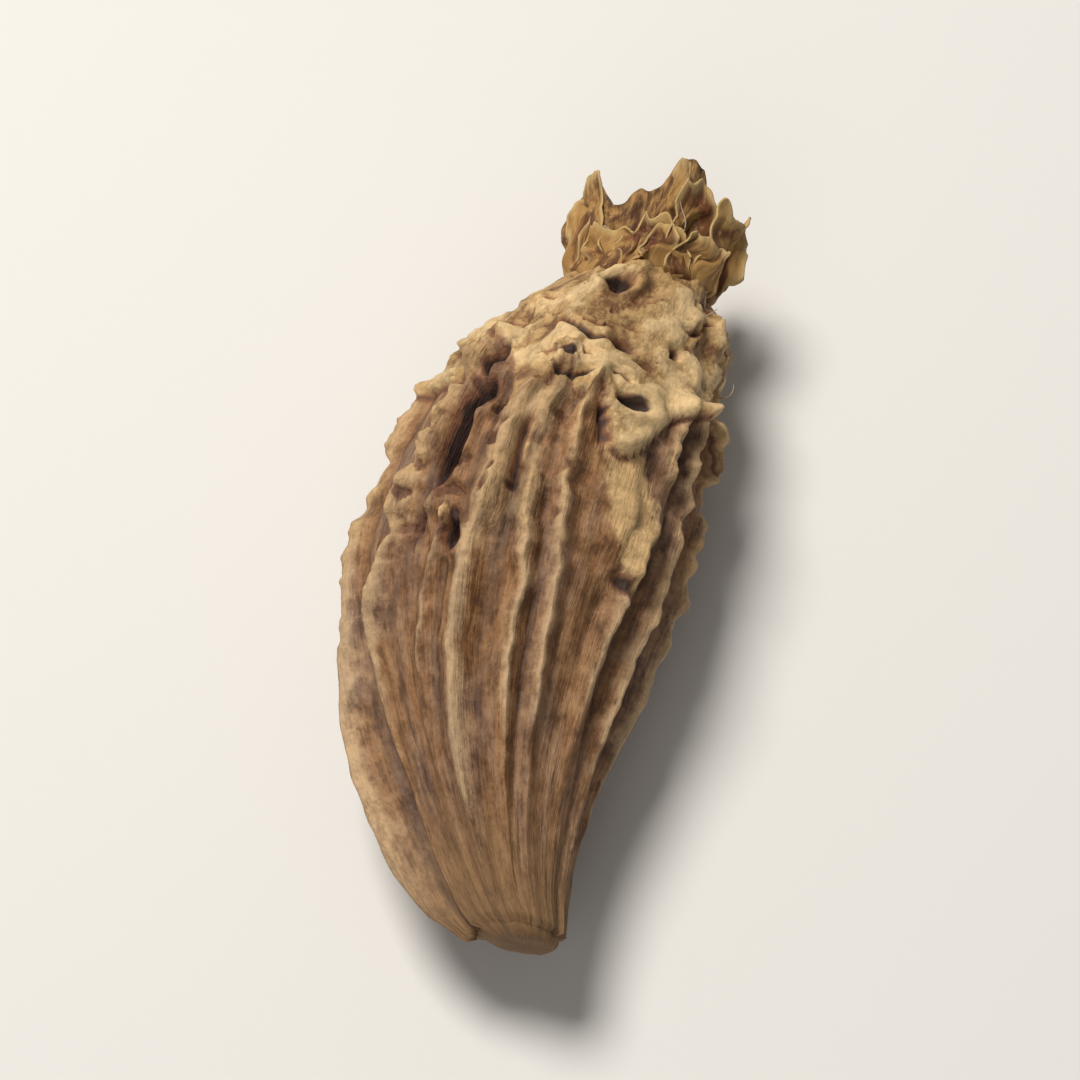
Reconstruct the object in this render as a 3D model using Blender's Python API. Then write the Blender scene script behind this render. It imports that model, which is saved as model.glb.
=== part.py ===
"""A black cardamom pod: one dried ribbed fruit on its side, stalk scar at -Y and withered flower at +Y."""

import math
import random

import bmesh
import bpy
from mathutils import Vector, noise

MM = 0.001

# Main sizes, in millimetres
HUSK_LENGTH = 29.5
FLOWER_LENGTH = 5.2
BODY_RADIUS = 6.3
WIDEST_AT = 0.58
STEM_TAPER = 0.745
BELLY_ROUNDING = 0.2
TIP_TAPER = 0.56
TIP_TAPER_POWER = 2.3
HEIGHT_SHARE = 0.95
THREE_SIDED = 0.045
UNDERSIDE_FLAT = 0.1

# The bend of the axis: how far it bows sideways, how the bow is spread along the husk,
# how far the flower leans back, and the slope of the whole pod
BOW = 3.0
BOW_SKEW = 0.8
BOW_FULLNESS = 0.85
FLOWER_LEAN = 0.7
FLOWER_LEAN_FROM = 0.9
FLOWER_LEAN_OVER = 0.24
PITCH = 0.035

# Stalk scar
SCAR_DIMPLE = 0.25
SCAR_ROUNDING = 0.9

# Ribs. Those on the upper side go from +X up and over to -X, each with its angle in degrees, how many
# degrees it veers toward the tip, and its shares of RIB_HEIGHT and of RIB_HALF_WIDTH
UPPER_RIBS = (
    (-2, 0, 0.9, 1.0),
    (20, -3, 0.75, 1.0),
    (41, -6, 0.85, 1.1),
    (69, 11, 0.6, 0.8),
    (83, 6, 0.85, 0.8),
    (108, -8, 1.15, 1.1),
    (126, -10, 0.5, 0.7),
    (160, -30, 1.2, 1.15),
    (180, 0, 1.0, 1.0),
)
LOWER_RIBS = 8
RIB_COUNT = len(UPPER_RIBS) + LOWER_RIBS
CREST_PLAY = 0.18
COLUMNS_PER_RIB = 6
CREST_CROWDING = 0.55
RIB_HEIGHT = 0.95
RIB_HALF_WIDTH = 0.54
RIB_SHARPNESS = 1.5
COVERED_SHARE = 0.5
COVERED_WIDENING = 1.3
RIB_SEED = 29
SLOW_SWAY = 0.05
QUICK_SWAY = 0.085
FLANGE_RIB = len(UPPER_RIBS) - 1
FLANGE_HEIGHT = 1.6
VEER_FROM = 0.32
VEER_TO = 0.7
LESSER_RIB = 6
LESSER_ENDS = 0.56

# Folds, knobs and pits of the crumpled tip
BROAD_WAVE = 0.22
TIP_FOLD = 0.45
KNOB_COUNT = 16
KNOBS_FROM = 185
KNOBS_SPAN = 205
KNOB_SEED = 7
KNOB_HEIGHTS = (-0.55, 0.45)

# The pale crust over the tip: how thick it is, where its edge runs as a share of the husk, and the lobes
# of the edge as (degrees, half width in degrees, how far each reaches down)
CRUST_THICKNESS = 0.25
CRUST_EDGE = 0.785
CRUST_FADE = 0.05
CRUST_LOBES = (
    (58, 15, 0.118),
    (34, 7, 0.02),
    (82, 5, 0.05),
    (101, 8, 0.075),
    (128, 12, -0.045),
    (198, 9, 0.04),
    (232, 12, 0.07),
    (264, 7, 0.03),
    (295, 11, 0.06),
    (330, 8, 0.04),
    (355, 6, 0.05),
)

# Withered flower
NECK_RADIUS = 2.6
MOUTH_RADIUS = 3.1
MOUTH_FLARE = 1.4
FLOWER_WALL = 0.8
CUP_DEPTH = 2.2
CUP_ROUNDING = 2.2
FLOWER_EDGE = 0.5
FLOWER_LOBES = (
    (62, 26, 0.52),
    (101, 10, 0.14),
    (146, 18, 0.26),
    (14, 14, 0.18),
    (205, 16, 0.3),
    (254, 22, 0.42),
    (318, 15, 0.2),
)
CUP_FLOOR_REACH = 0.75

# Rings along the pod
SCAR_RINGS = 4
HUSK_RINGS = 41
FLOWER_RINGS = 7
CUP_RINGS = 6
RINGS_TO_TIP = 0.035
RINGS_TO_MIDDLE = 0.02
HUSK_END_RING = SCAR_RINGS + HUSK_RINGS - 1

# How far the lowest crests are pressed flat
REST_DEPTH = 0.38

HUSK_COLOUR = (0.235, 0.14, 0.075, 1.0)
HUSK_ROUGHNESS = 0.78


def ease(low, high, value):
    """0 below low, 1 above high, smooth between them."""
    share = min(max((value - low) / (high - low), 0.0), 1.0)
    return share * share * (3 - 2 * share)


def grain(x, y, z):
    """Smooth noise from about -1 to 1."""
    return noise.noise(Vector((x, y, z)))


def husk_radius(share):
    """Radius of the husk between its ribs, at a share of its length from the stalk scar."""
    if share < WIDEST_AT:
        away = (WIDEST_AT - share) / WIDEST_AT
        taper = math.hypot(away, BELLY_ROUNDING) - BELLY_ROUNDING
        full_taper = math.hypot(1, BELLY_ROUNDING) - BELLY_ROUNDING
        return BODY_RADIUS * (1 - STEM_TAPER * taper / full_taper)
    away = (share - WIDEST_AT) / (1 - WIDEST_AT)
    return BODY_RADIUS * (1 - TIP_TAPER * away**TIP_TAPER_POWER)


def flower_radius(share):
    """Radius of the withered flower at a share of its length: a slight neck, then flaring to the mouth."""
    husk_end = husk_radius(1.0)
    flared = NECK_RADIUS + (MOUTH_RADIUS - NECK_RADIUS) * share**MOUTH_FLARE
    return husk_end + (flared - husk_end) * ease(0.0, 0.45, share)


def outline():
    """The pod's outline as (station, radius) in millimetres: scar, husk, flower, then down into its cup."""
    scar_radius = husk_radius(0.0)
    points = []
    for ring in range(SCAR_RINGS):
        share = ring / SCAR_RINGS
        turn = share * math.pi / 2
        rounded = SCAR_ROUNDING * (1 - math.cos(turn))
        dimple = SCAR_DIMPLE * (1 - ease(0.0, 0.6, share))
        points.append((rounded + dimple, scar_radius * math.sin(turn)))
    for ring in range(HUSK_RINGS):
        share = ring / (HUSK_RINGS - 1)
        share += RINGS_TO_TIP * math.sin(2 * math.pi * share) + RINGS_TO_MIDDLE * math.sin(math.pi * share)
        station = SCAR_ROUNDING + (HUSK_LENGTH - SCAR_ROUNDING) * share
        points.append((station, husk_radius(station / HUSK_LENGTH)))
    for ring in range(1, FLOWER_RINGS + 1):
        share = ring / FLOWER_RINGS
        points.append((HUSK_LENGTH + FLOWER_LENGTH * share, flower_radius(share)))
    mouth = HUSK_LENGTH + FLOWER_LENGTH
    for ring in range(CUP_RINGS + 1):
        share = ring / CUP_RINGS
        radius = (MOUTH_RADIUS - FLOWER_WALL) * (1 - share**CUP_ROUNDING)
        points.append((mouth - CUP_DEPTH * ease(-0.25, 1.0, share), radius))
    return points


def outward(points, ring):
    """Unit direction out of the outline at a ring, as (along, away from the axis)."""
    before = points[max(ring - 1, 0)]
    after = points[min(ring + 1, len(points) - 1)]
    along, away = after[0] - before[0], after[1] - before[1]
    size = math.hypot(along, away) or 1.0
    return -away / size, along / size


def lower_angle(number, draw):
    """Angle in degrees of a rib on the lower side, where they are about evenly spread with some play."""
    first, last = UPPER_RIBS[-1][0], UPPER_RIBS[0][0] + 360
    step = (last - first) / (LOWER_RIBS + 1)
    return first + step * (number - len(UPPER_RIBS) + 1 + draw.uniform(-CREST_PLAY, CREST_PLAY))


class Rib:
    """One lengthwise rib of the husk."""

    def __init__(self, number, draw):
        if number < len(UPPER_RIBS):
            degrees, veer, tall, wide = UPPER_RIBS[number]
        else:
            degrees, veer = lower_angle(number, draw), 0.0
            tall, wide = draw.uniform(0.62, 1.25), draw.uniform(0.8, 1.25)
        self.number = number
        self.angle = math.radians(degrees)
        self.veer = math.radians(veer)
        self.height = RIB_HEIGHT * tall
        self.half_width = RIB_HALF_WIDTH * wide
        self.start = draw.uniform(0.0, 0.2)

    def angle_at(self, station):
        """Where the crest runs, as an angle round the axis."""
        share = station / HUSK_LENGTH
        slow = SLOW_SWAY * grain(self.number * 7.3, station * 0.16, 1.7)
        quick = QUICK_SWAY * ease(0.3, 0.95, share) * grain(self.number * 3.1, station * 0.55, 8.2)
        return self.angle + self.veer * ease(VEER_FROM, VEER_TO, share) + slow + quick

    def height_at(self, station):
        """Height of the crest above the valleys beside it."""
        share = station / HUSK_LENGTH
        rise = 0.3 + 0.7 * ease(self.start, self.start + 0.35, share)
        fade = 1 - ease(0.93, 1.02, share)
        rough = grain(self.number * 5.7, station * 0.5, 3.3)
        notch = 1 - (0.2 + 0.75 * ease(0.4, 0.9, share)) * ease(0.12, 0.5, rough)
        height = self.height * rise * fade * notch
        if self.number == LESSER_RIB:
            height *= 1 - ease(LESSER_ENDS - 0.08, LESSER_ENDS, share)
        if self.number == FLANGE_RIB:
            height += FLANGE_HEIGHT * ease(0.0, 0.05, share) * (1 - ease(0.12, 0.55, share))
        return height

    def covered_height(self, station):
        """Height of the soft swell that is left of the rib under the crust."""
        share = station / HUSK_LENGTH
        slow = 1 + 0.5 * grain(self.number * 5.7, station * 0.5, 3.3)
        return COVERED_SHARE * self.height * slow * (1 - ease(0.88, 1.0, share))


def make_ribs():
    draw = random.Random(RIB_SEED)
    return [Rib(number, draw) for number in range(RIB_COUNT)]


def ridge(distance, half_width):
    """Cross-section of a rib: 1 on the crest, falling to 0 in the valley."""
    return math.exp(-((abs(distance) / half_width) ** RIB_SHARPNESS))


def swelling(distance, half_width):
    """Rounded cross-section of a rib that lies under the crust."""
    return math.exp(-((distance / (COVERED_WIDENING * half_width)) ** 2))


class Mark:
    """A knob on the skin of the husk, or a pit where its height is below 0.

    It takes an angle in degrees, a share of the husk's length, and sizes in millimetres.
    """

    def __init__(self, degrees, share, half_length, half_width, height):
        self.angle = math.radians(degrees)
        self.station = share * HUSK_LENGTH
        self.half_length = half_length
        self.half_width = half_width
        self.height = height

    def raised(self, angle, station, radius):
        """How far the mark lifts a point of the skin."""
        along = (station - self.station) / self.half_length
        turn = (angle - self.angle + math.pi) % (2 * math.pi) - math.pi
        around = turn * radius / self.half_width
        spread = along * along + around * around
        return self.height * math.exp(-spread) if spread < 6 else 0.0


def make_marks():
    """The marks seen on the upper side, then knobs and pits strewn round the tip on the lower side."""
    marks = [
        Mark(56, 0.725, 1.3, 1.3, 0.4),
        Mark(38, 0.765, 0.8, 0.55, 0.35),
        Mark(48, 0.585, 1.7, 0.8, 0.4),
        Mark(117, 0.54, 0.5, 0.45, 0.45),
        Mark(126, 0.56, 0.45, 0.4, 0.4),
        Mark(41, 0.496, 0.4, 0.5, -0.45),
        Mark(121, 0.67, 1.7, 0.42, -0.85),
        Mark(117, 0.725, 0.7, 0.45, -0.6),
        Mark(113, 0.508, 0.45, 0.38, -0.6),
        Mark(122, 0.784, 0.6, 0.4, -0.8),
        Mark(91, 0.79, 0.28, 0.27, -0.5),
        Mark(72, 0.825, 0.26, 0.5, -0.5),
        Mark(60, 0.74, 0.4, 0.65, -0.5),
        Mark(46, 0.845, 0.3, 0.3, -0.45),
        Mark(88, 0.938, 0.42, 0.5, -0.6),
    ]
    draw = random.Random(KNOB_SEED)
    for number in range(KNOB_COUNT):
        size = draw.uniform(0.55, 1.1)
        degrees = KNOBS_FROM + KNOBS_SPAN * (number + draw.uniform(-0.3, 0.3)) / KNOB_COUNT
        height = draw.choice(KNOB_HEIGHTS) * draw.uniform(0.6, 1.2)
        marks.append(Mark(degrees, draw.uniform(0.82, 0.985), size * 1.3, size * 0.8, height))
    return marks


def column_share(step):
    """Place of a mesh column between two crests, crowded toward the crests."""
    share = step / COLUMNS_PER_RIB
    return share - CREST_CROWDING * math.sin(2 * math.pi * share) / (2 * math.pi)


def bell(angle, degrees, half_width):
    """1 at an angle given in degrees, falling to 0 beyond its half width, with a rounded top."""
    away = (math.degrees(angle) - degrees + 180) % 360 - 180
    return math.exp(-(abs(away / half_width) ** 3))


def crust_edge(angle):
    """Where the edge of the pale crust runs, as a share of the husk."""
    edge = CRUST_EDGE + 0.02 * grain(4 * math.cos(angle), 4 * math.sin(angle), 6.1)
    return edge - sum(reach * bell(angle, degrees, wide) for degrees, wide, reach in CRUST_LOBES)


def crumple(angle, station, radius, marks):
    """Folds, marks and crust of the dried skin, growing toward the tip."""
    share = station / HUSK_LENGTH
    x, z = 6 * math.cos(angle), 6 * math.sin(angle)
    broad = BROAD_WAVE * grain(x * 0.3, station * 0.2, z * 0.3)
    folds = 1.4 * math.hypot(grain(x * 0.42, station * 0.5, z * 0.42 + 4.0), 0.14) - 0.3
    marked = sum(mark.raised(angle, station, radius) for mark in marks)
    edge = crust_edge(angle)
    crust = crust_thickness(angle) * ease(edge - 0.01, edge + 0.02, share)
    return broad + TIP_FOLD * ease(0.78, 0.95, share) * folds + marked + crust


def crust_thickness(angle):
    """Thickness of the crust in millimetres, thin where it runs down the tall ribs on top."""
    return CRUST_THICKNESS * (1 - 0.65 * bell(angle, 110, 34))


def flower_reach(angle):
    """How far the ragged edge of the flower reaches, as a share of its length."""
    torn = 0.07 * grain(5 * math.cos(angle), 5 * math.sin(angle), 12.6)
    return FLOWER_EDGE + torn + sum(tall * bell(angle, degrees, wide) for degrees, wide, tall in FLOWER_LOBES)


def flower_fold(angle):
    """How far the collapsed flower bulges or folds in, as a share of its radius."""
    creased = grain(2.2 * math.cos(angle), 2.2 * math.sin(angle), 9.0)
    return 0.12 * math.cos(2 * angle) + 0.34 * creased


def centre(station):
    """Sideways and upward place of the axis at a station."""
    share = station / HUSK_LENGTH
    bow = -BOW * math.sin(math.pi * share**BOW_SKEW) ** BOW_FULLNESS if 0 < share < 1 else 0.0
    lean = FLOWER_LEAN * max(share - FLOWER_LEAN_FROM, 0.0) / FLOWER_LEAN_OVER
    return bow + lean, PITCH * (station - WIDEST_AT * HUSK_LENGTH)


def rib_lift(ribs, column, station, radius):
    """The angle of a mesh column at a station, and how far the two ribs beside it lift the skin there."""
    first = ribs[column // COLUMNS_PER_RIB]
    second = ribs[(column // COLUMNS_PER_RIB + 1) % RIB_COUNT]
    share = column_share(column % COLUMNS_PER_RIB)
    low, high = first.angle_at(station), second.angle_at(station)
    if high < low:
        high += 2 * math.pi
    girth = max(radius, 0.5)
    angle = low + (high - low) * share
    gap = (high - low) * girth
    narrow = (girth / BODY_RADIUS) ** 0.6
    raised, swell = 0.0, 0.0
    for rib, away in ((first, share * gap), (second, (1 - share) * gap)):
        raised += rib.height_at(station) * ridge(away, rib.half_width * narrow)
        swell += rib.covered_height(station) * swelling(away, rib.half_width * narrow)
    raised += (swell - raised) * ease(0.0, CRUST_FADE, station / HUSK_LENGTH - crust_edge(angle))
    return angle, raised * min(1.0, radius / NECK_RADIUS)


def laid_down(angle, station, radius):
    """The place in millimetres of a point given round the axis: the section shaped, then the axis bent."""
    radius *= 1 - THREE_SIDED * math.sin(3 * angle) * ease(0.0, 4.0, radius)
    underside = max(-math.sin(angle) - 0.5, 0.0)
    rise = math.sin(angle) + 4 * UNDERSIDE_FLAT * underside * underside
    side, up = centre(station)
    return Vector((side + radius * math.cos(angle), station, up + HEIGHT_SHARE * radius * rise))


def pod_point(points, ring, ribs, marks, column):
    """One point of the pod's skin in millimetres."""
    station, radius = points[ring]
    angle, raised = rib_lift(ribs, column, station, radius)
    raised += crumple(angle, station, radius, marks)
    if ring < SCAR_RINGS:
        raised *= (ring / SCAR_RINGS) ** 2
    if ring > HUSK_END_RING:
        raised = 0.0
        reach = flower_reach(angle) if radius > 0.3 else CUP_FLOOR_REACH
        station = HUSK_LENGTH + (station - HUSK_LENGTH) * reach
        radius *= 1 + flower_fold(angle) * ease(HUSK_LENGTH, HUSK_LENGTH + 1.5, station)
    along, away = outward(points, ring)
    return laid_down(angle, station + raised * along, radius + raised * away)


def rest_on_floor(corners):
    """Presses the lowest crests flat and puts the pod's base centre at the origin."""
    floor = min(corner.z for corner in corners) + REST_DEPTH
    for corner in corners:
        corner.z = max(corner.z, floor)
    lows = [min(corner[axis] for corner in corners) for axis in range(3)]
    highs = [max(corner[axis] for corner in corners) for axis in range(3)]
    shift = Vector(((lows[0] + highs[0]) / 2, (lows[1] + highs[1]) / 2, floor))
    return [(corner - shift) * MM for corner in corners]


def husk_material():
    material = bpy.data.materials.new("dried_husk")
    material.use_nodes = True
    shader = material.node_tree.nodes["Principled BSDF"]
    shader.inputs["Base Color"].default_value = HUSK_COLOUR
    shader.inputs["Roughness"].default_value = HUSK_ROUGHNESS
    shader.inputs["Metallic"].default_value = 0.0
    return material


def make_pod(collection):
    points = outline()
    ribs = make_ribs()
    marks = make_marks()
    columns = RIB_COUNT * COLUMNS_PER_RIB
    last = len(points) - 1
    mesh = bpy.data.meshes.new("cardamom_pod")
    sphere = bmesh.new()
    bmesh.ops.create_uvsphere(sphere, u_segments=columns, v_segments=last, radius=1.0)
    corners = []
    for corner in sphere.verts:
        down = math.acos(max(-1.0, min(1.0, corner.co.z)))
        ring = last - round(down / math.pi * last)
        column = round(math.atan2(corner.co.y, corner.co.x) / (2 * math.pi) * columns) % columns
        corners.append(pod_point(points, ring, ribs, marks, column))
    for corner, place in zip(sphere.verts, rest_on_floor(corners)):
        corner.co = place
    bmesh.ops.reverse_faces(sphere, faces=sphere.faces)
    for face in sphere.faces:
        face.smooth = True
    sphere.to_mesh(mesh)
    sphere.free()
    pod = bpy.data.objects.new("cardamom_pod", mesh)
    pod.data.materials.append(husk_material())
    collection.objects.link(pod)
    return pod


def clear_scene():
    for thing in list(bpy.data.objects):
        bpy.data.objects.remove(thing, do_unlink=True)


def main():
    clear_scene()
    collection = bpy.data.collections.new("black_cardamom_pod")
    bpy.context.scene.collection.children.link(collection)
    make_pod(collection)


main()
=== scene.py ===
"""The looks of the black cardamom pod: fine ribbed skin, crumpled golden tip and withered flower."""

import math
import random

import bpy
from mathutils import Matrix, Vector, noise


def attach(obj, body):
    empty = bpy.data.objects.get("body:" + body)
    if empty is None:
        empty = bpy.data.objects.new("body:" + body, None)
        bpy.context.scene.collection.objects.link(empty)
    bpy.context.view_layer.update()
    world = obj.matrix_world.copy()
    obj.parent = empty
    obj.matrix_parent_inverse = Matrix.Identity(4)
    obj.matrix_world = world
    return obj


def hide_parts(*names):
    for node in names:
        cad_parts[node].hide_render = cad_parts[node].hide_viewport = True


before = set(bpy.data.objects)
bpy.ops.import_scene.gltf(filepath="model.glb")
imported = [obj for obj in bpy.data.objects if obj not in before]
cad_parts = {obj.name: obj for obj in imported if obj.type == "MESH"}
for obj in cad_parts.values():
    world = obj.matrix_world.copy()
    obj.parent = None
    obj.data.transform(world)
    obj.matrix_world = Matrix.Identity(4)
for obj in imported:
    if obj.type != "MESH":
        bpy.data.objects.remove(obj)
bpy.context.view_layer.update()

MM = 0.001
FAR_AWAY = 9.0

# The form, the same as the solid's, in millimetres and shares
HUSK_LENGTH = 29.5
FLOWER_LENGTH = 5.2
BODY_RADIUS = 6.3
WIDEST_AT = 0.58
STEM_TAPER = 0.745
BELLY_ROUNDING = 0.2
TIP_TAPER = 0.56
TIP_TAPER_POWER = 2.3
HEIGHT_SHARE = 0.95
THREE_SIDED = 0.045
UNDERSIDE_FLAT = 0.1
BOW = 3.0
BOW_SKEW = 0.8
BOW_FULLNESS = 0.85
FLOWER_LEAN = 0.7
FLOWER_LEAN_FROM = 0.9
FLOWER_LEAN_OVER = 0.24
PITCH = 0.035
SCAR_DIMPLE = 0.25
SCAR_ROUNDING = 0.9

# Ribs. Those on the upper side go from +X up and over to -X, each with its angle in degrees, how many
# degrees it veers toward the tip, and its shares of RIB_HEIGHT and of RIB_HALF_WIDTH
UPPER_RIBS = (
    (-2, 0, 0.9, 1.0),
    (20, -3, 0.75, 1.0),
    (41, -6, 0.85, 1.1),
    (69, 11, 0.6, 0.8),
    (83, 6, 0.85, 0.8),
    (108, -8, 1.15, 1.1),
    (126, -10, 0.5, 0.7),
    (160, -30, 1.2, 1.15),
    (180, 0, 1.0, 1.0),
)
LOWER_RIBS = 8
RIB_COUNT = len(UPPER_RIBS) + LOWER_RIBS
CREST_PLAY = 0.18
RIB_HEIGHT = 0.95
RIB_HALF_WIDTH = 0.54
RIB_SHARPNESS = 1.5
RIB_NARROWING = 0.6
WORN_WIDENING = 0.6
COVERED_SHARE = 0.5
COVERED_WIDENING = 1.3
FOOT_PLACE = 1.75
FOOT_DEPTH = 0.16
CREST_SHOWN = 1.5
RIB_SEED = 29
SLOW_SWAY = 0.05
QUICK_SWAY = 0.085
FLANGE_RIB = len(UPPER_RIBS) - 1
FLANGE_HEIGHT = 1.6
VEER_FROM = 0.32
VEER_TO = 0.7
LESSER_RIB = 6
LESSER_ENDS = 0.56

# Folds, knobs, pits and cracks of the crumpled tip
BROAD_WAVE = 0.22
TIP_FOLD = 0.45
KNOB_COUNT = 16
KNOBS_FROM = 185
KNOBS_SPAN = 205
KNOB_SEED = 7
KNOB_HEIGHTS = (-0.55, 0.45)
PIT_RIM = 0.4
CRUMB_DEPTH = 0.28
CRACK_LIP = 0.3
CRACK_COUNT = 14
CRACK_SEED = 5

# Path of the deep groove between the two tall ribs, as (degrees, share of the husk)
GROOVE_PATH = ((116, 0.755), (117, 0.725), (120, 0.7), (122, 0.675), (123, 0.64), (124, 0.6), (126, 0.57))

# Withered flower, with the lobes of its torn edge as (degrees, half width in degrees, share of its length)
NECK_RADIUS = 2.6
MOUTH_RADIUS = 3.1
MOUTH_FLARE = 1.4
FLOWER_WALL = 0.8
RIM_WALL = 0.22
CUP_DEPTH = 2.2
CUP_ROUNDING = 2.2
CUP_FLOOR_RADIUS = 0.3
CUP_FLOOR_REACH = 0.75
FLOWER_EDGE = 0.5
FLOWER_LOBES = (
    (62, 26, 0.52),
    (101, 10, 0.14),
    (146, 18, 0.26),
    (14, 14, 0.18),
    (205, 16, 0.3),
    (254, 22, 0.42),
    (318, 15, 0.2),
)

# The pale crust over the tip: how thick it is, where its edge runs as a share of the husk, and the lobes
# of the edge as (degrees, half width in degrees, how far each reaches down)
CRUST_THICKNESS = 0.25
CRUST_EDGE = 0.785
CRUST_FADE = 0.05
PATCH_THICKNESS = 0.12
CRUST_LOBES = (
    (58, 15, 0.118),
    (34, 7, 0.02),
    (82, 5, 0.05),
    (101, 8, 0.075),
    (128, 12, -0.045),
    (198, 9, 0.04),
    (232, 12, 0.07),
    (264, 7, 0.03),
    (295, 11, 0.06),
    (330, 8, 0.04),
    (355, 6, 0.05),
)

# Where the pod's base centre lies in the coordinates of the form
BASE_SIDE = -2.62695
BASE_STATION = 17.47548
FLOOR_LEVEL = -5.50179

# Which of the marks in make_marks are the placed knobs, and which of those are golden
PLACED_KNOBS = slice(0, 5)
GOLDEN_MARKS = slice(3, 5)

# Mesh density of the fine skin
COLUMNS_PER_RIB = 20
CREST_CROWDING = 0.45
SCAR_RINGS = 12
HUSK_RINGS = 218
FLOWER_RINGS = 32
CUP_RINGS = 20
RINGS_TO_TIP = 0.035
RINGS_TO_MIDDLE = 0.02

# Shreds of the withered flower, each as its angle in degrees, its span in radians, its share of the
# flower's reach, how far it stands out and how far it curls out, in millimetres
PETALS = (
    (72, 1.5, 1.05, 0.1, -0.3),
    (52, 0.9, 0.95, 0.25, 0.3),
    (146, 1.0, 1.15, 0.1, 0.2),
    (18, 0.9, 1.1, 0.25, 0.8),
    (98, 1.3, 0.66, 0.2, 0.35),
    (40, 1.0, 0.55, 0.3, 0.6),
    (128, 0.9, 0.62, 0.2, 0.3),
    (85, 1.3, 0.95, -0.9, -0.4),
    (70, 0.8, 0.45, 0.35, 0.2),
    (205, 1.1, 1.0, 0.2, 0.3),
    (254, 1.3, 1.0, 0.15, 0.4),
    (318, 1.1, 1.0, 0.2, 0.5),
    (240, 1.5, 0.85, -0.9, -0.3),
)
PETAL_ROOT = 0.7
PETAL_THICKNESS = 0.09
PETAL_COLUMNS = 64
PETAL_ROWS = 56
PETAL_DRAPE = 1.5

# Loose fibres, each as its angle in degrees, share of the husk and length in millimetres
FIBRES = (
    (12, 0.955, 2.8),
    (25, 0.9, 2.2),
    (5, 0.86, 2.3),
    (60, 1.05, 2.0),
    (118, 1.04, 1.8),
)
FIBRE_STEPS = 26
FIBRE_SIDES = 6
FIBRE_RADIUS = 0.05
FIBRE_SEED = 3

# The studio, in metres and watts
STUDIO_AIM = (0.0, 0.0, 0.006)
KEY_PLACE = (-0.13, 0.12, 0.35)
KEY_SIZE = 0.16
KEY_WATTS = 1.7
KEY_COLOUR = (1.0, 0.96, 0.9)
FILL_PLACE = (-0.05, -0.28, 0.28)
FILL_SIZE = 0.3
FILL_WATTS = 0.22
FILL_COLOUR = (1.0, 0.98, 0.95)
WORLD_COLOUR = (1.0, 0.98, 0.95, 1.0)
WORLD_STRENGTH = 0.17
FLOOR_HALF = 1.5
CAMERA_AIM = (0.0005, 0.0, 0.006)
CAMERA_AZIMUTH = 8
CAMERA_ELEVATION = 66
CAMERA_DISTANCE = 0.168
CAMERA_LENS = 135
CAMERA_CLIP = 0.01


def ease(low, high, value):
    """0 below low, 1 above high, smooth between them."""
    share = min(max((value - low) / (high - low), 0.0), 1.0)
    return share * share * (3 - 2 * share)


def grain(x, y, z):
    """Smooth noise from about -1 to 1."""
    return noise.noise(Vector((x, y, z)))


def husk_radius(share):
    """Radius of the husk between its ribs, at a share of its length from the stalk scar."""
    if share < WIDEST_AT:
        away = (WIDEST_AT - share) / WIDEST_AT
        taper = math.hypot(away, BELLY_ROUNDING) - BELLY_ROUNDING
        full_taper = math.hypot(1, BELLY_ROUNDING) - BELLY_ROUNDING
        return BODY_RADIUS * (1 - STEM_TAPER * taper / full_taper)
    away = (share - WIDEST_AT) / (1 - WIDEST_AT)
    return BODY_RADIUS * (1 - TIP_TAPER * away**TIP_TAPER_POWER)


def flower_radius(share):
    """Radius of the withered flower at a share of its length: a slight neck, then flaring to the mouth."""
    husk_end = husk_radius(1.0)
    flared = NECK_RADIUS + (MOUTH_RADIUS - NECK_RADIUS) * share**MOUTH_FLARE
    return husk_end + (flared - husk_end) * ease(0.0, 0.45, share)


def outline():
    """The pod's outline as (station, radius) in millimetres: scar, husk, flower, then down into its cup."""
    scar_radius = husk_radius(0.0)
    points = []
    for ring in range(SCAR_RINGS):
        share = ring / SCAR_RINGS
        turn = share * math.pi / 2
        rounded = SCAR_ROUNDING * (1 - math.cos(turn))
        dimple = SCAR_DIMPLE * (1 - ease(0.0, 0.6, share))
        points.append((rounded + dimple, scar_radius * math.sin(turn)))
    for ring in range(HUSK_RINGS):
        share = ring / (HUSK_RINGS - 1)
        turn = math.pi * share
        share = share + RINGS_TO_TIP * math.sin(2 * turn) + RINGS_TO_MIDDLE * math.sin(turn)
        station = SCAR_ROUNDING + (HUSK_LENGTH - SCAR_ROUNDING) * share
        points.append((station, husk_radius(station / HUSK_LENGTH)))
    for ring in range(1, FLOWER_RINGS + 1):
        share = ring / FLOWER_RINGS
        points.append((HUSK_LENGTH + FLOWER_LENGTH * share, flower_radius(share)))
    mouth = HUSK_LENGTH + FLOWER_LENGTH
    for ring in range(CUP_RINGS + 1):
        share = ring / CUP_RINGS
        wall = RIM_WALL + (FLOWER_WALL - RIM_WALL) * ease(0.0, 0.35, share)
        radius = (MOUTH_RADIUS - wall) * (1 - share**CUP_ROUNDING)
        points.append((mouth - CUP_DEPTH * ease(-0.25, 1.0, share), radius))
    return points


def outward(points, ring):
    """Unit direction out of the outline at a ring, as (along, away from the axis)."""
    before = points[max(ring - 1, 0)]
    after = points[min(ring + 1, len(points) - 1)]
    along, away = after[0] - before[0], after[1] - before[1]
    size = math.hypot(along, away) or 1.0
    return -away / size, along / size


def lower_angle(number, draw):
    """Angle in degrees of a rib on the lower side, where they are about evenly spread with some play."""
    first, last = UPPER_RIBS[-1][0], UPPER_RIBS[0][0] + 360
    step = (last - first) / (LOWER_RIBS + 1)
    return first + step * (number - len(UPPER_RIBS) + 1 + draw.uniform(-CREST_PLAY, CREST_PLAY))


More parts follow.
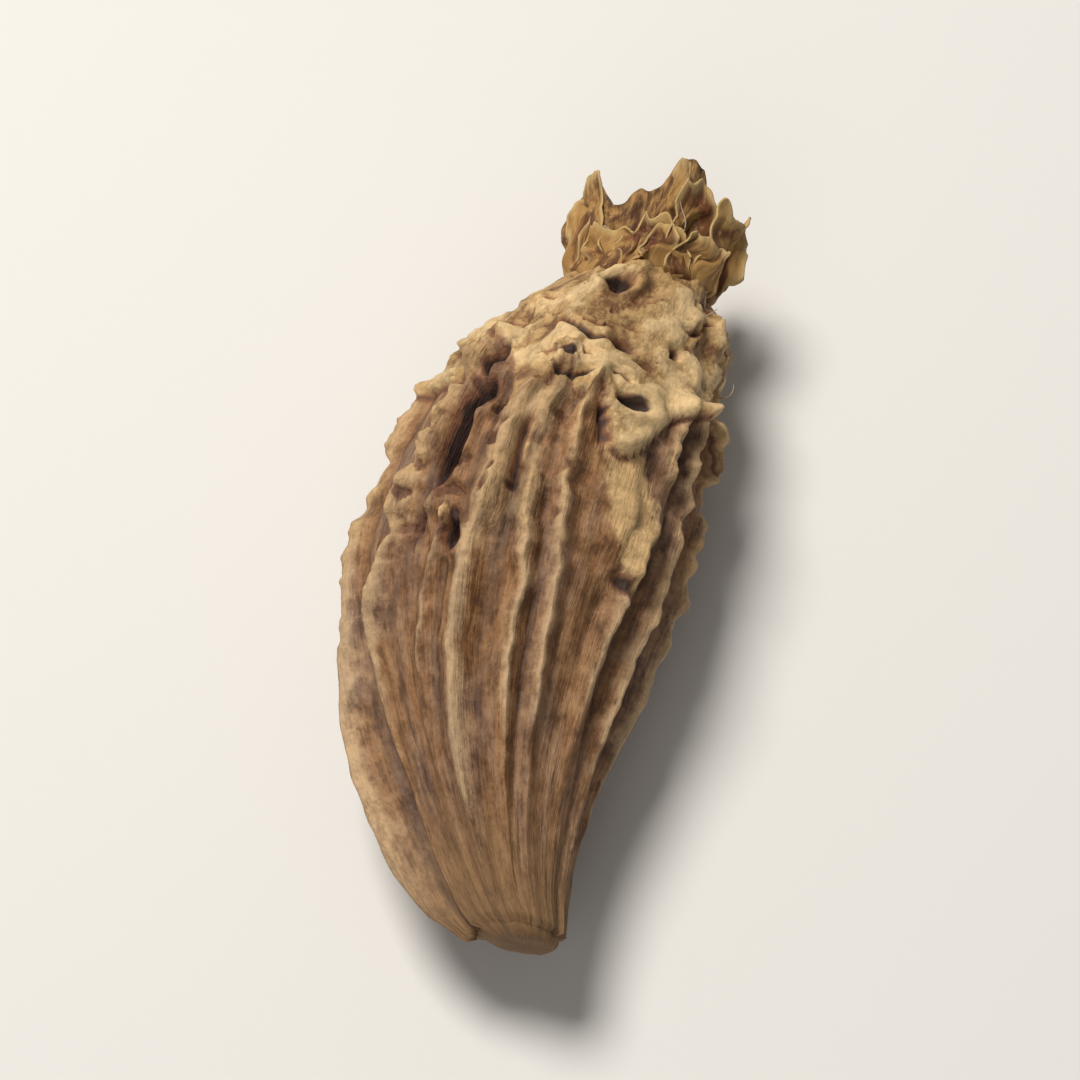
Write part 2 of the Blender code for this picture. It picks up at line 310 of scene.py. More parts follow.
class Rib:
    """One lengthwise rib of the husk."""

    def __init__(self, number, draw):
        if number < len(UPPER_RIBS):
            degrees, veer, tall, wide = UPPER_RIBS[number]
        else:
            degrees, veer = lower_angle(number, draw), 0.0
            tall, wide = draw.uniform(0.62, 1.25), draw.uniform(0.8, 1.25)
        self.number = number
        self.angle = math.radians(degrees)
        self.veer = math.radians(veer)
        self.height = RIB_HEIGHT * tall
        self.half_width = RIB_HALF_WIDTH * wide
        self.start = draw.uniform(0.0, 0.2)

    def angle_at(self, station, radius):
        """Where the crest runs, as an angle round the axis, with its fine wiggle."""
        share = station / HUSK_LENGTH
        slow = SLOW_SWAY * grain(self.number * 7.3, station * 0.16, 1.7)
        quick = QUICK_SWAY * ease(0.3, 0.95, share) * grain(self.number * 3.1, station * 0.55, 8.2)
        rough = ease(0.15, 0.8, share)
        fine = (0.08 + 0.2 * rough) * grain(self.number * 4.7, station * 1.1, 2.6)
        fine += (0.02 + 0.04 * rough) * grain(self.number * 9.1, station * 3.1, 6.4)
        veered = self.angle + self.veer * ease(VEER_FROM, VEER_TO, share)
        return veered + slow + quick + fine / max(radius, 2.0)

    def height_at(self, station):
        """Height of the crest above the valleys beside it, with its nicks."""
        share = station / HUSK_LENGTH
        rise = 0.3 + 0.7 * ease(self.start, self.start + 0.35, share)
        fade = 1 - ease(0.93, 1.02, share)
        rough = grain(self.number * 5.7, station * 0.5, 3.3)
        notch = 1 - (0.2 + 0.75 * ease(0.4, 0.9, share)) * ease(0.12, 0.5, rough)
        nick = 1 + (0.1 + 0.3 * ease(0.25, 0.8, share)) * grain(self.number * 2.9, station * 1.1, 7.7)
        nick += 0.14 * ease(0.2, 0.7, share) * grain(self.number * 6.1, station * 3.6, 1.1)
        height = self.height * rise * fade * notch * nick
        if self.number == LESSER_RIB:
            height *= 1 - ease(LESSER_ENDS - 0.08, LESSER_ENDS, share)
        if self.number == FLANGE_RIB:
            height += FLANGE_HEIGHT * ease(0.0, 0.05, share) * (1 - ease(0.12, 0.55, share))
        return height

    def covered_height(self, station):
        """Height of the soft swell that is left of the rib under the crust."""
        share = station / HUSK_LENGTH
        slow = 1 + 0.5 * grain(self.number * 5.7, station * 0.5, 3.3)
        return COVERED_SHARE * self.height * slow * (1 - ease(0.88, 1.0, share))

    def crest_at(self, station, radius):
        """Its angle, height, half width and covered height at a station."""
        angle, height = self.angle_at(station, radius), self.height_at(station)
        return angle, height, self.half_width, self.covered_height(station)


def make_ribs():
    draw = random.Random(RIB_SEED)
    return [Rib(number, draw) for number in range(RIB_COUNT)]


def ridge(distance, half_width):
    """Cross-section of a rib: 1 on the crest, falling to 0 in the valley."""
    return math.exp(-((abs(distance) / half_width) ** RIB_SHARPNESS))


def swelling(distance, half_width):
    """Rounded cross-section of a rib that lies under the crust."""
    return math.exp(-((distance / (COVERED_WIDENING * half_width)) ** 2))


def foot(distance, half_width):
    """A narrow groove along the foot of a rib: 1 at its bottom."""
    return math.exp(-(((abs(distance) / half_width - FOOT_PLACE) / 0.5) ** 2))


class Mark:
    """A knob on the skin of the husk, or a pit where its height is below 0.

    It takes an angle in degrees, a share of the husk's length, and sizes in millimetres.
    """

    def __init__(self, degrees, share, half_length, half_width, height):
        self.angle = math.radians(degrees)
        self.station = share * HUSK_LENGTH
        self.half_length = half_length
        self.half_width = half_width
        self.height = height

    def raised(self, angle, station, radius):
        """How far the mark lifts a point of the skin. A pit has a low rim round it."""
        along = (station - self.station) / self.half_length
        if abs(along) > 2.45:
            return 0.0
        turn = (angle - self.angle + math.pi) % (2 * math.pi) - math.pi
        around = turn * radius / self.half_width
        spread = along * along + around * around
        if spread > 6:
            return 0.0
        if self.height > 0:
            return self.height * math.exp(-spread)
        rim = PIT_RIM * math.exp(-(((math.sqrt(spread) - 1.75) / 0.4) ** 2))
        return self.height * (math.exp(-spread) - rim)


def make_marks():
    """The marks seen on the upper side, then knobs and pits strewn round the tip on the lower side."""
    marks = [
        Mark(56, 0.725, 1.3, 1.3, 0.4),
        Mark(38, 0.765, 0.8, 0.55, 0.35),
        Mark(48, 0.585, 1.7, 0.8, 0.4),
        Mark(117, 0.54, 0.5, 0.45, 0.45),
        Mark(126, 0.56, 0.45, 0.4, 0.4),
        Mark(41, 0.496, 0.4, 0.5, -0.45),
        Mark(121, 0.67, 1.7, 0.42, -0.85),
        Mark(117, 0.725, 0.7, 0.45, -0.6),
        Mark(113, 0.508, 0.45, 0.38, -0.6),
        Mark(122, 0.784, 0.6, 0.4, -0.8),
        Mark(91, 0.79, 0.28, 0.27, -0.5),
        Mark(72, 0.825, 0.26, 0.5, -0.5),
        Mark(60, 0.74, 0.4, 0.65, -0.5),
        Mark(46, 0.845, 0.3, 0.3, -0.45),
        Mark(88, 0.938, 0.42, 0.5, -0.6),
    ]
    draw = random.Random(KNOB_SEED)
    for number in range(KNOB_COUNT):
        size = draw.uniform(0.55, 1.1)
        degrees = KNOBS_FROM + KNOBS_SPAN * (number + draw.uniform(-0.3, 0.3)) / KNOB_COUNT
        height = draw.choice(KNOB_HEIGHTS) * draw.uniform(0.6, 1.2)
        marks.append(Mark(degrees, draw.uniform(0.82, 0.985), size * 1.3, size * 0.8, height))
    return marks


def column_share(step):
    """Place of a mesh column between two crests, crowded toward the crests."""
    share = step / COLUMNS_PER_RIB
    return share - CREST_CROWDING * math.sin(2 * math.pi * share) / (2 * math.pi)


def bell(angle, degrees, half_width):
    """1 at an angle given in degrees, falling to 0 beyond its half width, with a rounded top."""
    away = (math.degrees(angle) - degrees + 180) % 360 - 180
    return math.exp(-(abs(away / half_width) ** 3))


def crust_edge(angle):
    """Where the edge of the pale crust runs, as a share of the husk."""
    edge = CRUST_EDGE + 0.02 * grain(4 * math.cos(angle), 4 * math.sin(angle), 6.1)
    return edge - sum(reach * bell(angle, degrees, wide) for degrees, wide, reach in CRUST_LOBES)


def folds_at(angle, station):
    """Broad folds of the dried skin, growing toward the tip."""
    share = station / HUSK_LENGTH
    x, z = 6 * math.cos(angle), 6 * math.sin(angle)
    broad = BROAD_WAVE * grain(x * 0.3, station * 0.2, z * 0.3)
    folds = 1.4 * math.hypot(grain(x * 0.42, station * 0.5, z * 0.42 + 4.0), 0.14) - 0.3
    return broad + TIP_FOLD * ease(0.78, 0.95, share) * folds


def between(number, share, gap, station):
    """A thin lesser rib that comes and goes in the valley after rib number."""
    place = 0.5 + 0.16 * math.sin(number * 2.4) + 0.1 * grain(number * 3.7, station * 0.3, 4.4)
    shown = ease(-0.15, 0.35, grain(number * 8.3, station * 0.16, 9.9))
    along = station / HUSK_LENGTH
    tall = 0.22 * shown * ease(0.06, 0.2, along) * (1 - ease(0.7, 0.85, along))
    return tall * min(gap / 2.0, 1.0) * ridge((share - place) * gap, 0.2)


def wrinkles_at(angle, station, crest, crust):
    """Fine wrinkles: fibres along the pod, creases across the flanks, folds and thin cracks in the crust."""
    share = station / HUSK_LENGTH
    x, z = math.cos(angle), math.sin(angle)
    fibres = 0.075 * grain(x * 12, station * 0.2, z * 12) + 0.045 * grain(x * 30, station * 0.42, z * 30)
    creases = 0.1 * ease(0.2, 0.6, share) * (1 - crest) * grain(x * 6, station * 1.1, z * 6)
    knuckles = 0.15 * crest * ease(0.42, 0.66, share) * grain(x * 8, station * 2.1, z * 8)
    if x > -0.85:
        crumbs = ease(0.44, 0.58, share) * ease(0.2, 0.42, grain(x * 10, station * 1.5, z * 10 + 3.0))
        knuckles -= CRUMB_DEPTH * crumbs * (0.35 + 0.65 * ease(0.1, -0.3, x))
    if crust == 0:
        return fibres + creases + knuckles
    bent = 0.9 * grain(x * 2.5, station * 0.5, z * 2.5 + 5.0)
    folds = 0.16 * grain(x * 2.2 + bent, station * 0.55 + bent, z * 2.2 + 2.0)
    across = grain(x * 3.6 + bent, station * 0.95 + bent, z * 3.6 + 7.0)
    shown = ease(0.0, 0.3, grain(x * 2.1, station * 0.45 + 9.0, z * 2.1))
    cracks = -0.16 * shown * math.exp(-((across / 0.05) ** 2))
    lumps = 0.2 * ease(0.0, 0.45, grain(x * 3.4 + bent, station * 0.75, z * 3.4 + 1.0)) - 0.03
    grit = 0.07 * grain(x * 8, station * 1.6, z * 8) + 0.03 * grain(x * 22, station * 4.0, z * 22)
    return (fibres + knuckles + creases) * (1 - crust) + crust * (folds + lumps + cracks + grit)


def crust_thickness(angle):
    """Thickness of the crust in millimetres, thin where it runs down the tall ribs on top."""
    return CRUST_THICKNESS * (1 - 0.65 * bell(angle, 110, 34))


def flower_reach(angle):
    """How far the ragged edge of the flower reaches, as a share of its length."""
    torn = 0.07 * grain(5 * math.cos(angle), 5 * math.sin(angle), 12.6)
    lobes = sum(tall * bell(angle, degrees, wide) for degrees, wide, tall in FLOWER_LOBES)
    return FLOWER_EDGE + torn + lobes


def patch_at(angle, station):
    """The golden rib below the largest lobe of the crust: 1 on it, 0 beside it."""
    share = station / HUSK_LENGTH
    if not 0.48 < share < 0.74:
        return 0.0
    place = 38 + 115 * (share - 0.51)
    narrowing = 5 + 5 * ease(0.5, 0.58, share)
    return bell(angle, place, narrowing) * ease(0.485, 0.51, share) * (1 - ease(0.66, 0.72, share))


def papery(across, along, seed):
    """Crumple of a dry papery sheet in millimetres, from places in millimetres across and along it."""
    bent = 0.7 * grain(across * 0.4, along * 0.4, seed)
    folds = 0.5 - 1.6 * abs(grain(across * 0.36 + bent, along * 0.42 + bent, seed + 3.0))
    creases = 0.5 - 1.6 * abs(grain(across * 0.95 + bent, along * 1.05 - bent, seed + 6.0))
    return 0.5 * folds + 0.18 * creases + 0.06 * grain(across * 2.6, along * 2.6, seed)


def flower_fold(angle):
    """How far the collapsed flower bulges or folds in, as a share of its radius."""
    creased = grain(2.2 * math.cos(angle), 2.2 * math.sin(angle), 9.0)
    return 0.12 * math.cos(2 * angle) + 0.34 * creased


def centre(station):
    """Sideways and upward place of the axis at a station."""
    share = station / HUSK_LENGTH
    bow = -BOW * math.sin(math.pi * share**BOW_SKEW) ** BOW_FULLNESS if 0 < share < 1 else 0.0
    lean = FLOWER_LEAN * max(share - FLOWER_LEAN_FROM, 0.0) / FLOWER_LEAN_OVER
    return bow + lean, PITCH * (station - WIDEST_AT * HUSK_LENGTH)


class Crack:
    """A narrow dark crevice of the crust along a path of (degrees, share) points."""

    def __init__(self, path, half_width, depth):
        self.path = [(math.radians(degrees), share * HUSK_LENGTH) for degrees, share in path]
        self.half_width = half_width
        self.depth = depth
        self.low = min(station for angle, station in self.path) - 1.0
        self.high = max(station for angle, station in self.path) + 1.0

    def nearest(self, angle, station, radius):
        """Distance in millimetres from a point of the skin to the path, and the share of the path there."""
        flat = []
        for turn, along in self.path:
            flat.append((((turn - angle + math.pi) % (2 * math.pi) - math.pi) * radius, along - station))
        distance, reached = FAR_AWAY, 0.0
        for piece, ((x0, y0), (x1, y1)) in enumerate(zip(flat, flat[1:])):
            dx, dy = x1 - x0, y1 - y0
            along = min(max(-(x0 * dx + y0 * dy) / (dx * dx + dy * dy), 0.0), 1.0)
            away = math.hypot(x0 + dx * along, y0 + dy * along)
            if away < distance:
                distance, reached = away, (piece + along) / (len(flat) - 1)
        return distance, reached

    def raised(self, angle, station, radius):
        """How far the crack lifts a point of the skin: below 0 in it, above 0 on its lips."""
        if not self.low < station < self.high:
            return 0.0
        distance, reached = self.nearest(angle, station, radius)
        if distance > 4 * self.half_width:
            return 0.0
        taper = ease(0.0, 0.3, reached) * (1 - ease(0.7, 1.0, reached))
        half_width = self.half_width * (0.55 + 0.45 * taper + 0.25 * grain(angle * 6, station * 1.5, 2.2))
        lip = CRACK_LIP * math.exp(-(((distance - 2.2 * half_width) / half_width) ** 2))
        return self.depth * (0.2 + 0.8 * taper) * (lip - math.exp(-((distance / half_width) ** 2)))


def make_cracks():
    """The crevices seen in the crust, then some more round its hidden side."""
    cracks = [
        Crack(((105, 0.832), (100, 0.845), (93, 0.832), (85, 0.824), (78, 0.822), (65, 0.825)), 0.14, 0.55),
        Crack(((98, 0.78), (93, 0.762), (86, 0.755), (81, 0.766), (75, 0.777)), 0.13, 0.45),
        Crack(((97, 0.785), (98, 0.805), (92, 0.812), (86, 0.803), (85, 0.785)), 0.07, 0.16),
        Crack(((75, 0.772), (70, 0.778), (65, 0.77), (63, 0.757)), 0.12, 0.45),
        Crack(((68, 0.745), (61, 0.735), (53, 0.737)), 0.16, 0.5),
        Crack(((80, 0.938), (88, 0.946), (98, 0.938)), 0.16, 0.45),
        Crack(((60, 0.92), (70, 0.912), (78, 0.918)), 0.1, 0.25),
        Crack(((30, 0.9), (38, 0.885), (46, 0.89)), 0.12, 0.35),
        Crack(((108, 0.91), (116, 0.9), (124, 0.91)), 0.1, 0.25),
        Crack(((110, 0.8), (113, 0.83), (109, 0.86)), 0.08, 0.15),
        Crack(GROOVE_PATH, 0.26, 0.75),
        Crack(((127, 0.55), (131, 0.525), (134, 0.49)), 0.16, 0.45),
        Crack(((115, 0.56), (113, 0.53), (111, 0.5)), 0.17, 0.55),
        Crack(((94, 0.69), (95, 0.65), (94, 0.6), (93, 0.56)), 0.16, 0.35),
        Crack(((74, 0.74), (70, 0.7), (67, 0.66)), 0.16, 0.35),
    ]
    draw = random.Random(CRACK_SEED)
    for number in range(CRACK_COUNT):
        degrees, share = 170 + 215 * number / CRACK_COUNT, draw.uniform(0.8, 0.95)
        path = []
        for step in range(4):
            path.append((degrees, share))
            degrees += draw.uniform(4, 9)
            share += draw.uniform(-0.02, 0.02)
        cracks.append(Crack(path, draw.uniform(0.1, 0.15), draw.uniform(0.3, 0.5)))
    return cracks


class SkinPoint:
    """A point of the fine skin and what its colour depends on."""

    def __init__(self, angle, station):
        self.angle = angle
        self.station = station
        self.place = (0.0, 0.0, 0.0)
        self.inside = 0.0
        self.crest = 0.0
        self.peak = 0.0
        self.hollow_shade = 0.0
        self.relief = 0.0
        self.groove = 0.0
        self.crust = 0.0
        self.patch = 0.0
        self.share = 0.0
        self.spread = 1.0


def placed(angle, station, radius):
    """Where a point round the axis lies in the scene, in millimetres."""
    radius *= 1 - THREE_SIDED * math.sin(3 * angle) * ease(0.0, 4.0, radius)
    low_side = max(-math.sin(angle) - 0.5, 0.0)
    rise = math.sin(angle) + 4 * UNDERSIDE_FLAT * low_side * low_side
    side, up = centre(station)
    height = max(up + HEIGHT_SHARE * radius * rise, FLOOR_LEVEL)
    return side + radius * math.cos(angle) - BASE_SIDE, station - BASE_STATION, height - FLOOR_LEVEL


def lift_ribs(found, crests, number, girth):
    """How far the ribs lift the skin where they are bare, and how far where the crust covers them."""
    angle, along = found.angle, found.station / HUSK_LENGTH
    narrow = (girth / BODY_RADIUS) ** RIB_NARROWING
    worn = 1 + WORN_WIDENING * ease(0.42, 0.6, along) * ease(0.25, -0.15, math.cos(angle))
    lifted, swell = 0.0, 0.0
    for step in (-1, 0, 1, 2):
        crest, height, half_width, covered = crests[(number + step) % RIB_COUNT]
        away = abs((crest - angle + math.pi) % (2 * math.pi) - math.pi) * girth
        tall = ridge(away, half_width * narrow)
        beside = foot(away, half_width * narrow)
        lifted += height * (tall - FOOT_DEPTH * beside)
        swell += covered * swelling(away, half_width * narrow)
        shown = min(CREST_SHOWN * height / RIB_HEIGHT, 1.0)
        found.crest += shown * ridge(away, half_width * narrow * worn)
        found.peak += shown * tall
        found.groove += height * beside
    return lifted, swell


def lift_skin(found, ring, radius, ribbed, marks, cracks, thin_rib):
    """How far a point of the husk is lifted in all, with the values that its colour reads."""
    angle, station = found.angle, found.station
    marked = [mark.raised(angle, station, radius) for mark in marks]
    cracked = [crack.raised(angle, station, radius) for crack in cracks]
    patch = patch_at(angle, station)
    thick = crust_thickness(angle)
    # A painted shadow line just below the crust's edge, kept in the hollow values with the depths of pits and
    # cracks, which the husk's colour darkens as painted shade.
    shadow_below_edge = math.exp(-(((found.inside + 0.006) / 0.005) ** 2))
    lip = 1.0 + 0.7 * math.exp(-(((found.inside - 0.014) / 0.012) ** 2))
    found.hollow_shade = 0.3 * shadow_below_edge * thick / CRUST_THICKNESS - sum(m for m in marked + cracked if m < 0)
    found.patch = sum(marked[GOLDEN_MARKS], patch)
    raised = ribbed * min(1.0, radius / NECK_RADIUS) + folds_at(angle, station) + sum(marked) + sum(cracked)
    raised += thick * found.crust * lip + PATCH_THICKNESS * patch
    wrinkles = wrinkles_at(angle, station, min(found.peak, 1.0), found.crust) * ease(0.0, 2.0, station)
    found.relief = wrinkles + 0.5 * sum(marked[PLACED_KNOBS])
    return (raised + wrinkles + thin_rib) * min(ring / SCAR_RINGS, 1.0) ** 2


def crumple_flower(angle, station, radius):
    """Station and radius of a point of the flower's wall, torn at its edge, folded and crumpled."""
    reach = flower_reach(angle) if radius > CUP_FLOOR_RADIUS else CUP_FLOOR_REACH
    station = HUSK_LENGTH + (station - HUSK_LENGTH) * reach
    radius *= 1 + flower_fold(angle) * ease(HUSK_LENGTH, HUSK_LENGTH + 1.5, station)
    loose = ease(HUSK_LENGTH, HUSK_LENGTH + 1.0, station) * min(radius / NECK_RADIUS, 1.0)
    radius += loose * papery(3 * angle, station, 2.0)
    station += 0.3 * loose * grain(math.cos(angle) * 6, station, math.sin(angle) * 6)
    return station, radius


def skin_point(points, ring, crests, marks, cracks, column):
    """One point of the pod's skin. crests holds what crest_at gives for each rib at this ring."""
    station, radius = points[ring]
    number = column // COLUMNS_PER_RIB
    share = column_share(column % COLUMNS_PER_RIB)
    low, high = crests[number][0], crests[(number + 1) % RIB_COUNT][0]
    if high < low:
        high += 2 * math.pi
    girth = max(radius, 0.5)
    angle = low + (high - low) * share
    found = SkinPoint(angle, station)
    lifted, swell = lift_ribs(found, crests, number, girth)
    edge = crust_edge(angle) + 0.006 * grain(9 * math.cos(angle), 3.3, 9 * math.sin(angle))
    found.inside = station / HUSK_LENGTH - edge
    found.crust = ease(-0.003, 0.005, found.inside) if station < HUSK_LENGTH else 0.0
    bare = 1 - ease(0.0, CRUST_FADE, found.inside)
    found.groove *= bare
    raised = 0.0
    if ring < SCAR_RINGS + HUSK_RINGS:
        ribbed = bare * lifted + (1 - bare) * swell
        thin_rib = between(number, share, (high - low) * girth, station)
        raised = lift_skin(found, ring, radius, ribbed, marks, cracks, thin_rib)
    found.spread = 1 + raised / BODY_RADIUS
    if ring > SCAR_RINGS + HUSK_RINGS - 1:
        station, radius = crumple_flower(angle, station, radius)
    along, away = outward(points, ring)
    found.share = (station + raised * along) / HUSK_LENGTH
    found.place = placed(angle, station + raised * along, radius + raised * away)
    return found


def skin_faces(rows, columns):
    """The faces of rows of points round the pod, closed by one point at each end."""
    faces = []
    for row in range(rows - 1):
        for column in range(columns):
            a = row * columns + column
            b = row * columns + (column + 1) % columns
            faces.append((a, a + columns, b + columns, b))
    count, top = rows * columns, (rows - 1) * columns
    for column in range(columns):
        after = (column + 1) % columns
        faces.append((count, column, after))
        faces.append((count + 1, top + after, top + column))
    return faces


def write_attributes(mesh, skin):
    """Puts on the mesh the values that the husk's colours read."""
    for name in ("crest", "groove", "hollow_shade", "relief", "crust", "patch", "share"):
        values = mesh.attributes.new(name, "FLOAT", "POINT")
        values.data.foreach_set("value", [getattr(found, name) for found in skin])
    flat = []
    for found in skin:
        flat += [found.spread * math.cos(found.angle), found.station, found.spread * math.sin(found.angle)]
    around = mesh.attributes.new("around", "FLOAT_VECTOR", "POINT")
    around.data.foreach_set("vector", flat)


def make_skin():
    """The whole pod as one fine closed mesh with the values that its colours read."""
    points, ribs, marks, cracks = outline(), make_ribs(), make_marks(), make_cracks()
    columns, last = RIB_COUNT * COLUMNS_PER_RIB, len(points) - 1

    def row_at(ring, count):
        crests = [rib.crest_at(*points[ring]) for rib in ribs]
        return [skin_point(points, ring, crests, marks, cracks, column) for column in range(count)]

    skin = [found for ring in range(1, last) for found in row_at(ring, columns)]
    skin += row_at(0, 1) + row_at(last, 1)
    mesh = bpy.data.meshes.new("pod_skin")
    mesh.from_pydata([[c * MM for c in found.place] for found in skin], [], skin_faces(last - 1, columns))
    mesh.shade_smooth()
    write_attributes(mesh, skin)
    return bpy.data.objects.new("pod_skin", mesh)


class Petal:
    """One dry, torn shred of the withered flower, a thin crumpled sheet."""

    def __init__(self, number, degrees, span, reach, push, curl):
        self.seed = number * 5.3
        self.angle = math.radians(degrees)
        self.span = span
        self.reach = reach
        self.push = push
        self.curl = curl

    def point(self, across, up):
        """Place on the shred: across runs from -1 to 1 and up from 0 at its root to 1 at its torn edge."""
        over = across * self.span * PETAL_DRAPE
        torn = 1 - 0.42 * abs(grain(over * 0.5, self.seed, 0.5))
        torn -= 0.16 * abs(grain(over * 1.6, self.seed, 3.5))
        torn -= 0.3 * abs(across) ** 4
        angle = self.angle + self.span / 2 * across * (1 - 0.2 * up)
        angle += 0.26 * grain(over * 0.6, up * 2.4, self.seed)
        top = FLOWER_LENGTH * flower_reach(angle) * self.reach * torn
        rise = -PETAL_ROOT + (top + PETAL_ROOT) * up
        radius = flower_radius(min(max(rise / FLOWER_LENGTH, 0.0), 1.0))
        radius *= 1 + flower_fold(angle) * ease(0.0, 1.5, rise)
        loose = ease(0.05, 0.5, up)
        crumple = loose * papery(over, rise, self.seed)
        radius += self.push * ease(0.0, 0.3, up) + self.curl * up * up * up + crumple
        radius += 0.35 * self.curl * across**4 * loose
        station = HUSK_LENGTH + rise + 0.5 * loose * grain(over * 0.8, rise * 0.8, self.seed + 8)
        return placed(angle, station, max(radius, 0.4))


def sheet_faces(across, up):
    """The faces of an open sheet with that many faces across and up."""
    faces = []
    for row in range(up):
        for column in range(across):
            a = row * (across + 1) + column
            faces.append((a, a + 1, a + across + 2, a + across + 1))
    return faces


def make_petal(number, petal):
    """The mesh of one shred, given its thickness by a Solidify modifier."""
    places, flat, rims = [], [], []
    for row in range(PETAL_ROWS + 1):
        for column in range(PETAL_COLUMNS + 1):
            across, up = 2 * column / PETAL_COLUMNS - 1, row / PETAL_ROWS
            places.append([c * MM for c in petal.point(across, up)])
            flat += [across * petal.span * PETAL_DRAPE, up * FLOWER_LENGTH * petal.reach, number * 7.0]
            rims.append(max(ease(0.86, 1.0, up), ease(0.88, 1.0, abs(across)) * ease(0.2, 0.5, up)))
    name = f"flower_shred_{number + 1}"
    mesh = bpy.data.meshes.new(name)
    mesh.from_pydata(places, [], sheet_faces(PETAL_COLUMNS, PETAL_ROWS))
    mesh.shade_smooth()
    around = mesh.attributes.new("around", "FLOAT_VECTOR", "POINT")
    around.data.foreach_set("vector", flat)
    rim = mesh.attributes.new("rim", "FLOAT", "POINT")
    rim.data.foreach_set("value", rims)
    shred = bpy.data.objects.new(name, mesh)
    thick = shred.modifiers.new("thickness", "SOLIDIFY")
    thick.thickness = PETAL_THICKNESS * MM
    thick.offset = 0.0
    return shred


def fibre_path(start, lean, length, draw):
    """Points along a fibre that curls away from the skin."""
    turn, pitch = draw.uniform(0, 2 * math.pi), draw.uniform(2.0, 4.0)
    place, heading = Vector(start), Vector(lean).normalized()
    path = []
    for step in range(FIBRE_STEPS + 1):
        path.append(place.copy())
        sway = (math.cos(turn + step * 0.25), math.sin(turn + step * 0.2), math.sin(turn + step * 0.31))
        heading = (heading + Vector(sway) * 0.35 / pitch).normalized()
        place += heading * length / FIBRE_STEPS
    return path


def tube_faces(steps, sides):
    """The faces of a closed tube of that many steps and sides."""
    faces = []
    for step in range(steps):
        for corner in range(sides):
            a = step * sides + corner
            b = step * sides + (corner + 1) % sides
            faces.append((a, b, b + sides, a + sides))
    last = steps * sides
    faces.append(tuple(reversed(range(sides))))
    faces.append(tuple(range(last, last + sides)))
    return faces


def make_fibre(number, path):
    """A thin dry fibre along a path, tapering to its end."""
    places = []
    for step, point in enumerate(path):
        ahead = path[min(step + 1, FIBRE_STEPS)] - path[max(step - 1, 0)]
        out = ahead.orthogonal().normalized()
        other = ahead.normalized().cross(out)
        thin = FIBRE_RADIUS * (1 - 0.7 * step / FIBRE_STEPS)
        for corner in range(FIBRE_SIDES):
            turn = 2 * math.pi * corner / FIBRE_SIDES
            places.append((point + (out * math.cos(turn) + other * math.sin(turn)) * thin) * MM)
    name = f"dry_fibre_{number + 1}"
    mesh = bpy.data.meshes.new(name)
    mesh.from_pydata(places, [], tube_faces(FIBRE_STEPS, FIBRE_SIDES))
    mesh.shade_smooth()
    return bpy.data.objects.new(name, mesh)


class Value:
    """A socket of a node tree with arithmetic, so that shader maths reads as plain expressions."""

    def __init__(self, paint, socket):
        self.paint = paint
        self.socket = socket

    def __add__(self, other):
        return self.paint.maths("ADD", self, other)

    __radd__ = __add__

    def __mul__(self, other):
        return self.paint.maths("MULTIPLY", self, other)

    __rmul__ = __mul__

    def __sub__(self, other):
        return self.paint.maths("SUBTRACT", self, other)

    def __rsub__(self, other):
        return self.paint.maths("SUBTRACT", other, self)

    def __pow__(self, other):
        return self.paint.maths("POWER", self, other)

    def least(self, other):
        return self.paint.maths("MINIMUM", self, other)

    def clear(self, low, high):
        """Smoothly 0 at low and 1 at high."""
        return self.paint.step(self, low, high)


class Paint:
    """A material being painted: makes nodes and links them."""

    def __init__(self, name):
        self.material = bpy.data.materials.new(name)
        self.material.use_nodes = True
        self.tree = self.material.node_tree
        self.shader = self.tree.nodes["Principled BSDF"]

    def node(self, kind, settings=None, inputs=None):
        """A node of that kind, with its settings set before its inputs are given values or links."""
        made = self.tree.nodes.new(kind)
        for name, value in (settings or {}).items():
            setattr(made, name, value)
        for name, value in (inputs or {}).items():
            self.feed(made.inputs[name], value)
        return made

    def feed(self, socket, value):
        if isinstance(value, Value):
            self.tree.links.new(value.socket, socket)
        else:
            socket.default_value = value

    def maths(self, operation, *values):
        inputs = dict(enumerate(values))
        made = self.node("ShaderNodeMath", {"operation": operation}, inputs)
        return Value(self, made.outputs[0])

    def step(self, value, low, high):
        made = self.node(
            "ShaderNodeMapRange",
            {"interpolation_type": "SMOOTHSTEP"},
            {"Value": value, "From Min": low, "From Max": high},
        )
        return Value(self, made.outputs["Result"])

    def attribute(self, name, output="Fac"):
        made = self.node("ShaderNodeAttribute", {"attribute_name": name})
        return Value(self, made.outputs[output])

    def stretched(self, vector, scale):
        made = self.node("ShaderNodeVectorMath", {"operation": "MULTIPLY"}, {0: vector, 1: scale})
        return Value(self, made.outputs["Vector"])

    def noise(self, vector, scale, detail=3.0, roughness=0.55):
        """Noise from 0 to 1 over a vector, with the scale given along each axis."""
        made = self.node(
            "ShaderNodeTexNoise",
            {"noise_dimensions": "3D"},
            {"Vector": self.stretched(vector, scale), "Scale": 1.0, "Detail": detail, "Roughness": roughness},
        )
        return Value(self, made.outputs["Fac"])

    def mix(self, share, first, second):
        """Colour going from first to second as share goes from 0 to 1."""
        made = self.node(
            "ShaderNodeMix",
            {"data_type": "RGBA", "clamp_factor": True},
            {0: share, 6: first, 7: second},
        )
        return Value(self, made.outputs[2])

    def tint(self, colour, strength):
        """Colour with its brightness multiplied by a value."""
        made = self.node("ShaderNodeVectorMath", {"operation": "SCALE"}, {0: colour, "Scale": strength})
        return Value(self, made.outputs["Vector"])

    def bump(self, height, distance, strength, normal=None):
        inputs = {"Height": height, "Distance": distance, "Strength": strength}
        if normal is not None:
            inputs["Normal"] = normal
        made = self.node("ShaderNodeBump", None, inputs)
        return Value(self, made.outputs["Normal"])

    def finish(self, inputs):
        for name, value in inputs.items():
            self.feed(self.shader.inputs[name], value)
        return self.material


